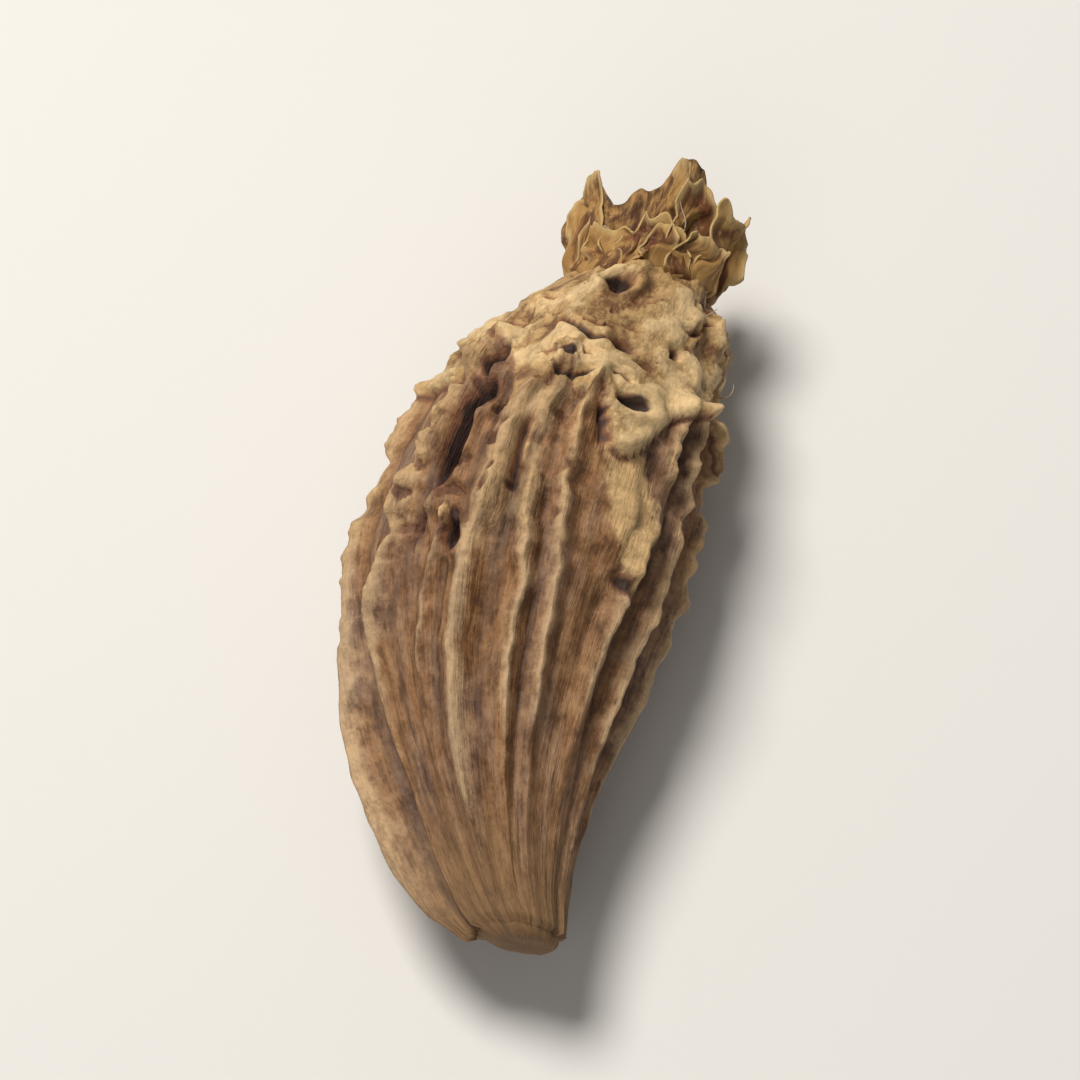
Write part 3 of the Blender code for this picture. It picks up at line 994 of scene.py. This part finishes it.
# Colours of the husk, the crust, the flower, the fibres and the floor
VALLEY_BROWN = (0.085, 0.04, 0.017, 1.0)
VALLEY_ORANGE = (0.24, 0.11, 0.04, 1.0)
VALLEY_PURPLE = (0.15, 0.077, 0.05, 1.0)
FLANK_TAN = (0.32, 0.19, 0.097, 1.0)
CREST_TAN = (0.47, 0.315, 0.175, 1.0)
CREST_GREY = (0.38, 0.262, 0.155, 1.0)
CREST_GOLD = (0.47, 0.305, 0.15, 1.0)
STEM_BROWN = (0.2, 0.108, 0.047, 1.0)
STEM_TAN = (0.26, 0.148, 0.066, 1.0)
TIP_GOLD = (0.4, 0.252, 0.105, 1.0)
# Pale of rubbed spots on the crust, also painted as highlight on its raised points.
TIP_PALE_AND_HIGHLIGHT = (0.64, 0.46, 0.24, 1.0)
# Brown of spots on the crust, also painted as shade in its folds.
TIP_BROWN_AND_SHADE = (0.2, 0.1, 0.04, 1.0)
PATCH_GOLD = (0.56, 0.37, 0.17, 1.0)
FLOWER_GOLD = (0.35, 0.195, 0.062, 1.0)
FLOWER_BROWN = (0.12, 0.05, 0.018, 1.0)
FLOWER_RED = (0.12, 0.035, 0.015, 1.0)
FLOWER_PALE = (0.6, 0.43, 0.19, 1.0)
# Red-brown of cracks, also used as painted shade in shallow hollows and along the crust's edge.
CRACK_RED_AND_SHADE = (0.2, 0.075, 0.035, 1.0)
# Painted shade in cracks, pits, grooves, low wrinkles and under the crust's edge.
HOLLOW_SHADE = (0.022, 0.011, 0.01, 1.0)
FIBRE_TAN = (0.38, 0.3, 0.2, 1.0)
FLOOR_GREY = (0.7, 0.69, 0.67, 1.0)


class HuskPaint(Paint):
    """The husk's material, painted from the values on its mesh and from noises stretched along the pod."""

    def __init__(self):
        super().__init__("husk_skin")
        self.crest = self.attribute("crest")
        self.groove = self.attribute("groove")
        self.hollow_shade = self.attribute("hollow_shade")
        self.relief = self.attribute("relief")
        self.crust = self.attribute("crust")
        self.patch = self.attribute("patch")
        self.share = self.attribute("share")
        around = self.attribute("around", "Vector")
        self.bands = self.noise(around, (9.0, 0.1, 9.0), 2.0, 0.5)
        self.fibres = self.noise(around, (22.0, 0.3, 22.0), 4.0, 0.65)
        self.threads = self.noise(around, (52.0, 0.7, 52.0), 3.0, 0.6)
        self.patches = self.noise(around, (2.2, 0.14, 2.2), 2.0, 0.5)
        self.mottle = self.noise(around, (7.0, 1.0, 7.0), 4.0, 0.65)
        self.specks = self.noise(around, (26.0, 4.0, 26.0), 4.0, 0.7)

    def valleys(self):
        """Orange, purple and brown valleys with tan flanks, plainer toward the stalk scar."""
        purple = (self.patches * 0.7 + self.mottle * 0.3 + (self.bands - 0.5) * 0.4).clear(0.44, 0.57)
        brown = (self.fibres * 0.45 + self.mottle * 0.4 + self.threads * 0.15).clear(0.52, 0.38)
        tan = (self.fibres * 0.35 + self.bands * 0.2 + self.mottle * 0.45).clear(0.42, 0.62)
        body = self.mix(purple, VALLEY_ORANGE, VALLEY_PURPLE)
        body = self.mix(brown * 0.7, body, VALLEY_BROWN)
        body = self.mix(tan * 0.7, body, FLANK_TAN)
        stem = self.mix((self.fibres * 0.6 + self.threads * 0.4).clear(0.4, 0.6), STEM_BROWN, STEM_TAN)
        return self.mix(1.0 - (self.share + (self.bands - 0.5) * 0.2).clear(0.02, 0.24), body, stem)

    def ribbed(self, body):
        """Adds the worn pale crests of the ribs, paler also on raised wrinkles and knobs as a painted
        highlight, and the golden rib below the crust.
        """
        golden = (self.share + (self.mottle - 0.5) * 0.5).clear(0.4, 0.62)
        grey = (self.patches * 0.5 + self.mottle * 0.5).clear(0.5, 0.62)
        crests = self.mix(golden, CREST_TAN, CREST_GOLD)
        crests = self.mix(grey * 0.7, crests, CREST_GREY)
        worn = (self.mottle - 0.5) * 0.9 + (self.patches - 0.5) * 0.7 + (self.threads - 0.5) * 0.4
        # Pale on worn crests and spots, and on raised wrinkles and knobs as a painted highlight.
        pale = (self.crest**2.0 + worn + self.relief * 1.5).clear(0.16, 0.9)
        body = self.mix(pale * self.share.clear(0.0, 0.14) * 0.95, body, crests)
        patch = (self.patch * 1.3 + (self.mottle - 0.5) * 0.9 + (self.fibres - 0.5)).clear(0.2, 0.8)
        return self.mix(patch * 0.85, body, PATCH_GOLD)

    def tipped(self, body):
        """Adds the golden crust over the tip, brown in spots and as painted shade in its folds, pale in
        rubbed spots and as a painted highlight on its raised points, and the brown wall of the flower.
        """
        # Brown in spots, and in the crust's folds as painted shade.
        high = (self.mottle * 0.6 + self.specks * 0.4 + self.relief * 1.3).clear(0.3, 0.5)
        # Pale in rubbed spots, and on raised points as a painted highlight.
        rubbed_and_highlit = (self.specks * 0.5 + self.patches * 0.5 + self.relief * 1.5).clear(0.5, 0.72)
        gold = self.mix(high, TIP_BROWN_AND_SHADE, TIP_GOLD)
        gold = self.mix(rubbed_and_highlit * 0.8, gold, TIP_PALE_AND_HIGHLIGHT)
        body = self.mix(self.crust * 0.96, body, gold)
        flower = self.mix((self.mottle * 0.6 + self.fibres * 0.4).clear(0.4, 0.6), FLOWER_BROWN, FLOWER_GOLD)
        return self.mix(self.share.clear(0.99, 1.02), body, flower)

    def shade_hollows(self, body):
        """Adds painted shade in cracks, pits, grooves, low wrinkles and along the line under the crust's
        edge: first red-brown, partly the cracks' own colour, then dark.
        """
        low = 0.0 - self.relief
        # Red-brown of the cracks, and painted shade in shallow hollows and under the crust's edge.
        body = self.mix((self.hollow_shade + low * 0.6).clear(0.02, 0.18) * 0.75, body, CRACK_RED_AND_SHADE)
        # Painted shade: dark in deep cracks and pits, along the grooves at the feet of the ribs and in low
        # wrinkles.
        dark = self.hollow_shade.clear(0.1, 0.42) + self.groove.clear(0.4, 1.0) * 0.4 + low.clear(0.05, 0.25) * 0.45
        return self.mix(dark.least(0.93), body, HOLLOW_SHADE)

    def painted(self):
        """The finished material."""
        body = self.shade_hollows(self.tipped(self.ribbed(self.valleys())))
        bare = 1.0 - self.crust * 0.75
        blotches = (self.specks * 0.45 + self.mottle * 0.55).clear(0.34, 0.66) * 0.5
        colour = self.tint(body, 0.75 + (self.threads - 0.5) * 0.22 * bare + blotches)
        normal = self.bump(self.specks * 0.5 + self.mottle * 0.5, 0.00015, 0.5)
        normal = self.bump((self.threads + self.fibres) * bare * 0.5, 0.0002, 0.6, normal)
        roughness = 0.5 + self.mottle * 0.3
        looks = {"Base Color": colour, "Roughness": roughness, "Specular IOR Level": 0.35, "Normal": normal}
        return self.finish(looks)


def flower_finish():
    paint = Paint("withered_flower")
    around = paint.attribute("around", "Vector")
    rim = paint.attribute("rim")
    broad = paint.noise(around, (0.45, 0.4, 1.0), 3.0, 0.6)
    red = paint.noise(around, (0.5, 0.6, 1.7), 2.0, 0.5)
    streaks = paint.noise(around, (4.5, 0.7, 1.0), 4.0, 0.6)
    specks = paint.noise(around, (6.0, 6.0, 1.0), 3.0, 0.6)
    colour = paint.mix((broad * 0.7 + streaks * 0.3).clear(0.42, 0.56), FLOWER_BROWN, FLOWER_GOLD)
    colour = paint.mix((red * 0.8 + specks * 0.2).clear(0.5, 0.6) * 0.8, colour, FLOWER_RED)
    colour = paint.mix((specks * 0.5 + streaks * 0.5).clear(0.54, 0.7) * 0.6, colour, FLOWER_PALE)
    colour = paint.mix(rim * (0.35 + specks * 0.6), colour, FLOWER_PALE)
    colour = paint.tint(colour, 0.7 + streaks * 0.6)
    normal = paint.bump(streaks * 0.7 + specks * 0.3, 0.0001, 0.6)
    looks = {"Base Color": colour, "Roughness": 0.72, "Specular IOR Level": 0.3, "Normal": normal}
    return paint.finish(looks)


def fibre_finish():
    paint = Paint("dry_fibre")
    return paint.finish({"Base Color": FIBRE_TAN, "Roughness": 0.6})


def floor_finish():
    paint = Paint("pale_floor")
    return paint.finish({"Base Color": FLOOR_GREY, "Roughness": 0.7})


def add_floor():
    mesh = bpy.data.meshes.new("floor")
    low, high = -FLOOR_HALF, FLOOR_HALF
    mesh.from_pydata([(low, low, 0), (high, low, 0), (high, high, 0), (low, high, 0)], [], [(0, 1, 2, 3)])
    floor = bpy.data.objects.new("floor", mesh)
    floor.data.materials.append(floor_finish())
    bpy.context.scene.collection.objects.link(floor)


def add_light(name, place, size, watts, colour):
    light = bpy.data.lights.new(name, "AREA")
    light.shape = "DISK"
    light.size = size
    light.energy = watts
    light.color = colour
    lamp = bpy.data.objects.new(name, light)
    lamp.location = place
    lamp.rotation_euler = (Vector(STUDIO_AIM) - Vector(place)).to_track_quat("-Z", "Y").to_euler()
    bpy.context.scene.collection.objects.link(lamp)


def add_camera():
    camera = bpy.data.cameras.new("camera")
    camera.lens = CAMERA_LENS
    camera.clip_start = CAMERA_CLIP
    turn, rise = math.radians(CAMERA_AZIMUTH), math.radians(CAMERA_ELEVATION)
    back = Vector((math.sin(turn) * math.cos(rise), -math.cos(turn) * math.cos(rise), math.sin(rise)))
    eye = bpy.data.objects.new("camera", camera)
    eye.location = Vector(CAMERA_AIM) + back * CAMERA_DISTANCE
    eye.rotation_euler = (-back).to_track_quat("-Z", "Y").to_euler()
    bpy.context.scene.collection.objects.link(eye)
    bpy.context.scene.camera = eye


def add_world():
    world = bpy.data.worlds.new("studio")
    world.use_nodes = True
    world.node_tree.nodes["Background"].inputs["Color"].default_value = WORLD_COLOUR
    world.node_tree.nodes["Background"].inputs["Strength"].default_value = WORLD_STRENGTH
    bpy.context.scene.world = world


def add_piece(piece, finish):
    piece.data.materials.append(finish)
    bpy.context.scene.collection.objects.link(piece)
    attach(piece, "root")


def add_flower():
    finish = flower_finish()
    for number, form in enumerate(PETALS):
        add_piece(make_petal(number, Petal(number, *form)), finish)


def add_fibres():
    draw = random.Random(FIBRE_SEED)
    finish = fibre_finish()
    for number, (degrees, share, length) in enumerate(FIBRES):
        angle, station = math.radians(degrees), share * HUSK_LENGTH
        start = placed(angle, station, husk_radius(min(share, 1.0)) - 0.2)
        lean = (math.cos(angle), 0.5, math.sin(angle))
        add_piece(make_fibre(number, fibre_path(start, lean, length, draw)), finish)


def main():
    skin = make_skin()
    add_piece(skin, HuskPaint().painted())
    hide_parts("cardamom_pod")
    add_flower()
    add_fibres()
    add_floor()
    add_world()
    add_light("key", KEY_PLACE, KEY_SIZE, KEY_WATTS, KEY_COLOUR)
    add_light("fill", FILL_PLACE, FILL_SIZE, FILL_WATTS, FILL_COLOUR)
    add_camera()
    bpy.context.scene.view_settings.view_transform = "Standard"


main()
